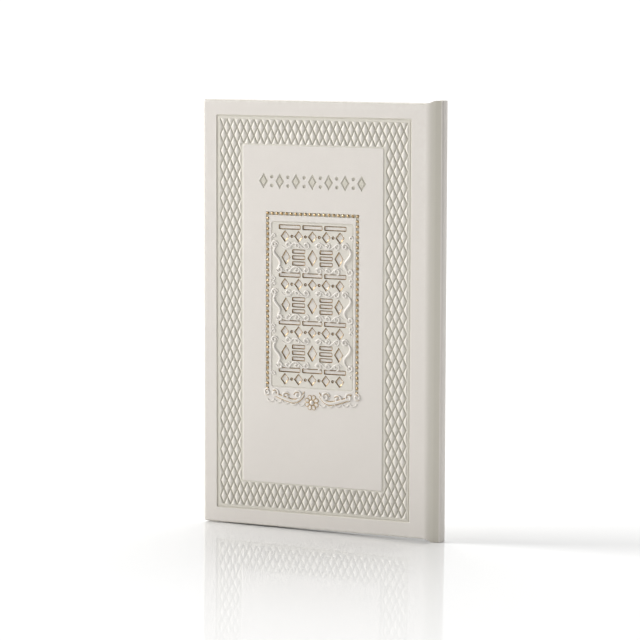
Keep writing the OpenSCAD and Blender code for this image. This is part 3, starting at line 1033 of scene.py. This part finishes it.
def leaf(node, material):
    """A leaf as a thin sheet, with close cross-sections near its root."""
    lo, hi = box_mm(node)
    root, bend = hi.x, LEAF_BEND
    xs = [root - bend * k / 14 for k in range(15)]
    xs += [xs[-1] + (lo.x - xs[-1]) * k / 6 for k in range(1, 7)]
    points, faces = [], []
    for x in xs:
        cut = LEAF_CORNER if x == xs[-1] else 0.0
        for y, z in ((lo.y, lo.z + cut), (hi.y, lo.z + cut), (hi.y, hi.z - cut), (lo.y, hi.z - cut)):
            points.append((x, y, z))
    for s in range(len(xs) - 1):
        faces += [(4 * s + k, 4 * s + (k + 1) % 4, 4 * s + 4 + (k + 1) % 4, 4 * s + 4 + k)
                  for k in range(4)]
    faces += [(0, 1, 2, 3), tuple(range(len(points) - 4, len(points)))]
    obj = make_mesh(node + "_sheet", points, faces, material)
    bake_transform(obj)
    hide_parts(node)


def pastedown(name, side):
    """The endpaper on a board's inner face, with the edges of the turned-in leather showing through."""
    lo, hi = PASTE_LO, PASTE_HI
    m = Relief()
    square_w = lo.x - SKIN_LO.x

    def outline(margin, r):
        half_w = (hi.x - lo.x) / 2 - margin
        return [((lo.x + hi.x) / 2 - MID_X + p, q) for p, q in
                rounded_rect(half_w, (hi.z - lo.z) / 2 - margin, r)]

    reach = TURNIN_W - square_w
    top = hi.y - FACE_Y
    profile = ((0.0, top - 0.1), (0.05, top - 0.02), (0.15, top), (reach - 0.5, top),
               (reach, top - 0.06), (reach + 0.6, top - 0.02), (reach + 1.2, top - 0.01))
    loops = [m.loop(outline(i, max(0.6 - i, 0.1)), d) for i, d in profile]
    for a, b in zip(loops, loops[1:]):
        m.bridge(a, b)
    m.fill(loops[-1])
    base = m.loop(outline(0.0, 0.6), CASE_T)
    m.bridge(base, loops[0])
    m.faces.append(tuple(base))
    obj = make_mesh(name + "_pastedown_sheet", m.place(side), m.faces, ENDPAPER_MAT, name + "_cover")
    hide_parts(name + "_pastedown")


PAPER_T = 0.10
GLUE_GAP = 0.02       # keeps a glued sheet just off what it lies on
HINGE_END = HINGE_X - 0.2


def strip(path):
    """A strip of endpaper over the height of the pastedown, along a path of x and y given for the
    front cover. Its thickness is to the left of the path. Returns points and faces."""
    points, faces = [], []
    for i, p in enumerate(path):
        along = Vector(path[min(i + 1, len(path) - 1)]) - Vector(path[max(i - 1, 0)])
        along.normalize()
        q = (p[0] - along.y * PAPER_T, p[1] + along.x * PAPER_T)
        points += [(*p, PASTE_LO.z), (*q, PASTE_LO.z), (*q, PASTE_HI.z), (*p, PASTE_HI.z)]
    for s in range(len(path) - 1):
        faces += [(4 * s + k, 4 * s + (k + 1) % 4, 4 * s + 4 + (k + 1) % 4, 4 * s + 4 + k)
                  for k in range(4)]
    faces += [(0, 1, 2, 3), tuple(range(len(points) - 4, len(points)))]
    return points, faces


def hinge_papers(name, side):
    """The endpaper between the pastedown and the flyleaf: one strip lines the joint, the other covers the
    gauze and stays with the spine."""
    edge = BOARD_X + 0.06
    coarse, fine = 8, 14
    bend = HINGE_X - FOLD_W
    xs = [edge + 0.3 + (bend - edge - 0.3) * k / coarse for k in range(coarse)]
    xs += [bend + (HINGE_END - bend) * k / fine for k in range(fine + 1)]
    lining = [(edge, PASTE_LO.y + 0.35), (edge, joint_surface(edge) + SKIN_T + 0.35)]
    lining += [(x, joint_surface(x) + SKIN_T + GLUE_GAP) for x in xs]
    points, faces = strip(lining)
    obj = make_mesh(name + "_hinge_paper", [(x, -side * y, z) for x, y, z in points], faces, ENDPAPER_MAT)
    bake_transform(obj)
    fold_x, fold_y = FLY_HI.x, FLY_LO.y
    gutter = [(fold_x + 0.04, fold_y - 0.02), (fold_x + 0.34, GAUZE_LO.y - 0.08),
              (GAUZE_HI.x + 0.14, GAUZE_LO.y - 0.2), (HINGE_END, GAUZE_LO.y - 0.38)]
    points, faces = strip(gutter[::-1])
    obj = make_mesh(name + "_gutter_paper", [(x, -side * y, z) for x, y, z in points], faces,
                    ENDPAPER_MAT, "spine")


# ---------- scene ----------

# metres, as Blender takes them
FLOOR_HALF, FLOOR_CUTS = 1.3, 12
POLISH_NEAR, POLISH_FAR = 0.02, 0.36   # the floor's polish fades out between these distances
FLOOR_NEAR = (0.85, 0.85, 0.845)
FLOOR_FAR = ((0.93, 0.93, 0.925), (0.95, 0.95, 0.945))
LEAN_MM = 0.8         # rise of the floor from the tail of the spine to the boards' fore-edge

# name, place, target, size, watts
LIGHTS = (("key", (-2.10, -0.5625, 0.95), (0, 0, 0.08), (0.85, 0.85), 63.0),
          ("fill", (-0.55, -0.75, 0.12), (0, 0, 0.03), (0.5, 0.2), 0.5),
          ("top", (0.0, 1.1, 1.6), (0, 0.5, 0), (2.4, 1.6), 16.0))

CAMERA_SIDE = (0.42, -0.91, 0.0)       # direction in which the surroundings are darkest
SKY_FADE = (-0.7, -0.1)                # cosine to that side over which they darken
SKY_STRENGTH = (1.10, 0.31)

LENS, SENSOR_W = 168.75, 36.0          # mm
CAMERA_PLACE = (0.4914, -1.0553, 0.2130)
CAMERA_TURN = (25.043, 6.334, 0.143)   # yaw, pitch and roll in degrees, fitted to the photo


def floor():
    """A large pale floor, polished near the book. It is leaned, because the CAD stays upright: it
    touches the tail of the spine and passes just under the fore-edge of the boards."""
    m = Nodes("pale_floor")
    m.use_object_place()
    dist = m.add("ShaderNodeVectorMath", operation="LENGTH")
    m.link(m.place[0], m.place[1], dist, "Vector")
    near = m.ramp((dist, "Value"), POLISH_NEAR, POLISH_FAR, 1.0, 0.0)
    far = m.mix(m.ramp(m.noise(60, 3), 0.3, 0.7), *FLOOR_FAR)
    m.colour(m.mix(near, far, FLOOR_NEAR))
    m.roughness(m.ramp(m.noise(20, 3), 0.3, 0.7, 0.05, 0.09))
    m.tree.links.new(near[0].outputs[near[1]], m.shader.inputs["Coat Weight"])
    m.set(Specular_IOR_Level=0.0, Coat_Roughness=0.0, Coat_IOR=1.45)
    size, cuts = FLOOR_HALF, FLOOR_CUTS
    verts = [(-size + 2 * size * i / cuts, -size + 2 * size * j / cuts, 0.0)
             for j in range(cuts + 1) for i in range(cuts + 1)]
    n = cuts + 1
    faces = [(j * n + i, j * n + i + 1, j * n + n + i + 1, j * n + n + i)
             for j in range(cuts) for i in range(cuts)]
    mesh = bpy.data.meshes.new("floor")
    mesh.from_pydata(verts, [], faces)
    mesh.materials.append(m.material)
    obj = bpy.data.objects.new("floor", mesh)
    bpy.context.scene.collection.objects.link(obj)
    lean = math.atan2(LEAN_MM, SPINE_HI.x - SKIN_LO.x)
    obj.rotation_euler = (0.0, lean, 0.0)
    obj.location = (0.0, 0.0, SPINE_HI.x * math.tan(lean) * MM)


def area_light(name, place, target, size, energy):
    """A white rectangular light that faces its target."""
    data = bpy.data.lights.new(name, "AREA")
    data.shape = "RECTANGLE"
    data.size, data.size_y = size
    data.energy = energy
    obj = bpy.data.objects.new(name, data)
    bpy.context.scene.collection.objects.link(obj)
    obj.location = place
    obj.rotation_mode = "QUATERNION"
    obj.rotation_quaternion = (Vector(target) - Vector(place)).to_track_quat("-Z", "Y")


def world():
    """White surroundings, darker on the side that the camera stands on."""
    w = bpy.data.worlds.new("studio")
    bpy.context.scene.world = w
    w.use_nodes = True
    tree = w.node_tree
    tree.nodes.clear()
    out = tree.nodes.new("ShaderNodeOutputWorld")
    back = tree.nodes.new("ShaderNodeBackground")
    place = tree.nodes.new("ShaderNodeTexCoord")
    dot = tree.nodes.new("ShaderNodeVectorMath")
    dot.operation = "DOT_PRODUCT"
    dot.inputs[1].default_value = Vector(CAMERA_SIDE)
    ramp = tree.nodes.new("ShaderNodeMapRange")
    ramp.interpolation_type = "SMOOTHSTEP"
    for k, v in zip(("From Min", "From Max", "To Min", "To Max"), (*SKY_FADE, *SKY_STRENGTH)):
        ramp.inputs[k].default_value = v
    tree.links.new(place.outputs["Generated"], dot.inputs[0])
    tree.links.new(dot.outputs["Value"], ramp.inputs["Value"])
    tree.links.new(ramp.outputs["Result"], back.inputs["Strength"])
    back.inputs["Color"].default_value = (1.0, 1.0, 1.0, 1.0)
    tree.links.new(back.outputs[0], out.inputs[0])


def camera():
    """Long lens, a little to the right of the front cover and above it."""
    data = bpy.data.cameras.new("camera")
    data.sensor_width = SENSOR_W
    data.lens = LENS
    data.clip_start, data.clip_end = 0.05, 50.0
    obj = bpy.data.objects.new("camera", data)
    bpy.context.scene.collection.objects.link(obj)
    yaw, pitch, roll = (math.radians(a) for a in CAMERA_TURN)
    look = Vector((-math.sin(yaw) * math.cos(pitch), math.cos(yaw) * math.cos(pitch), -math.sin(pitch)))
    right = Vector((math.cos(yaw), math.sin(yaw), 0.0))
    up = right.cross(look)
    right, up = (right * math.cos(roll) + up * math.sin(roll),
                 up * math.cos(roll) - right * math.sin(roll))
    turn = Matrix((right, up, -look)).transposed()
    obj.matrix_world = Matrix.Translation(CAMERA_PLACE) @ turn.to_4x4()
    bpy.context.scene.camera = obj


def dress_cad():
    """Materials for the CAD nodes that stay."""
    looks = {
        "front_board": board_material("greyboard", (0.40, 0.37, 0.32)),
        "spine_liner": board_material("liner_card", (0.48, 0.45, 0.38)),
        "spine_gauze": gauze_material(),
        "spine_glue": glue_material(),
        "sewing_thread": thread_material(),
    }
    looks["back_board"] = looks["front_board"]
    for node, material in looks.items():
        mesh = frame["nodes"][node].data
        mesh.materials.clear()
        mesh.materials.append(material)


bpy.context.scene.view_settings.view_transform = "Standard"
camera()
world()
for light in LIGHTS:
    area_light(*light)
floor()
front_cover()
back_cover()
joint("front", -1)
joint("back", 1)
spine()
leaf("front_flyleaf", ENDPAPER_MAT)
leaf("back_flyleaf", ENDPAPER_MAT)
for number in range(1, 9):
    leaf(f"leaf_{number}", PAGE_MAT)
pastedown("front", -1)
pastedown("back", 1)
hinge_papers("front", -1)
hinge_papers("back", 1)
dress_cad()
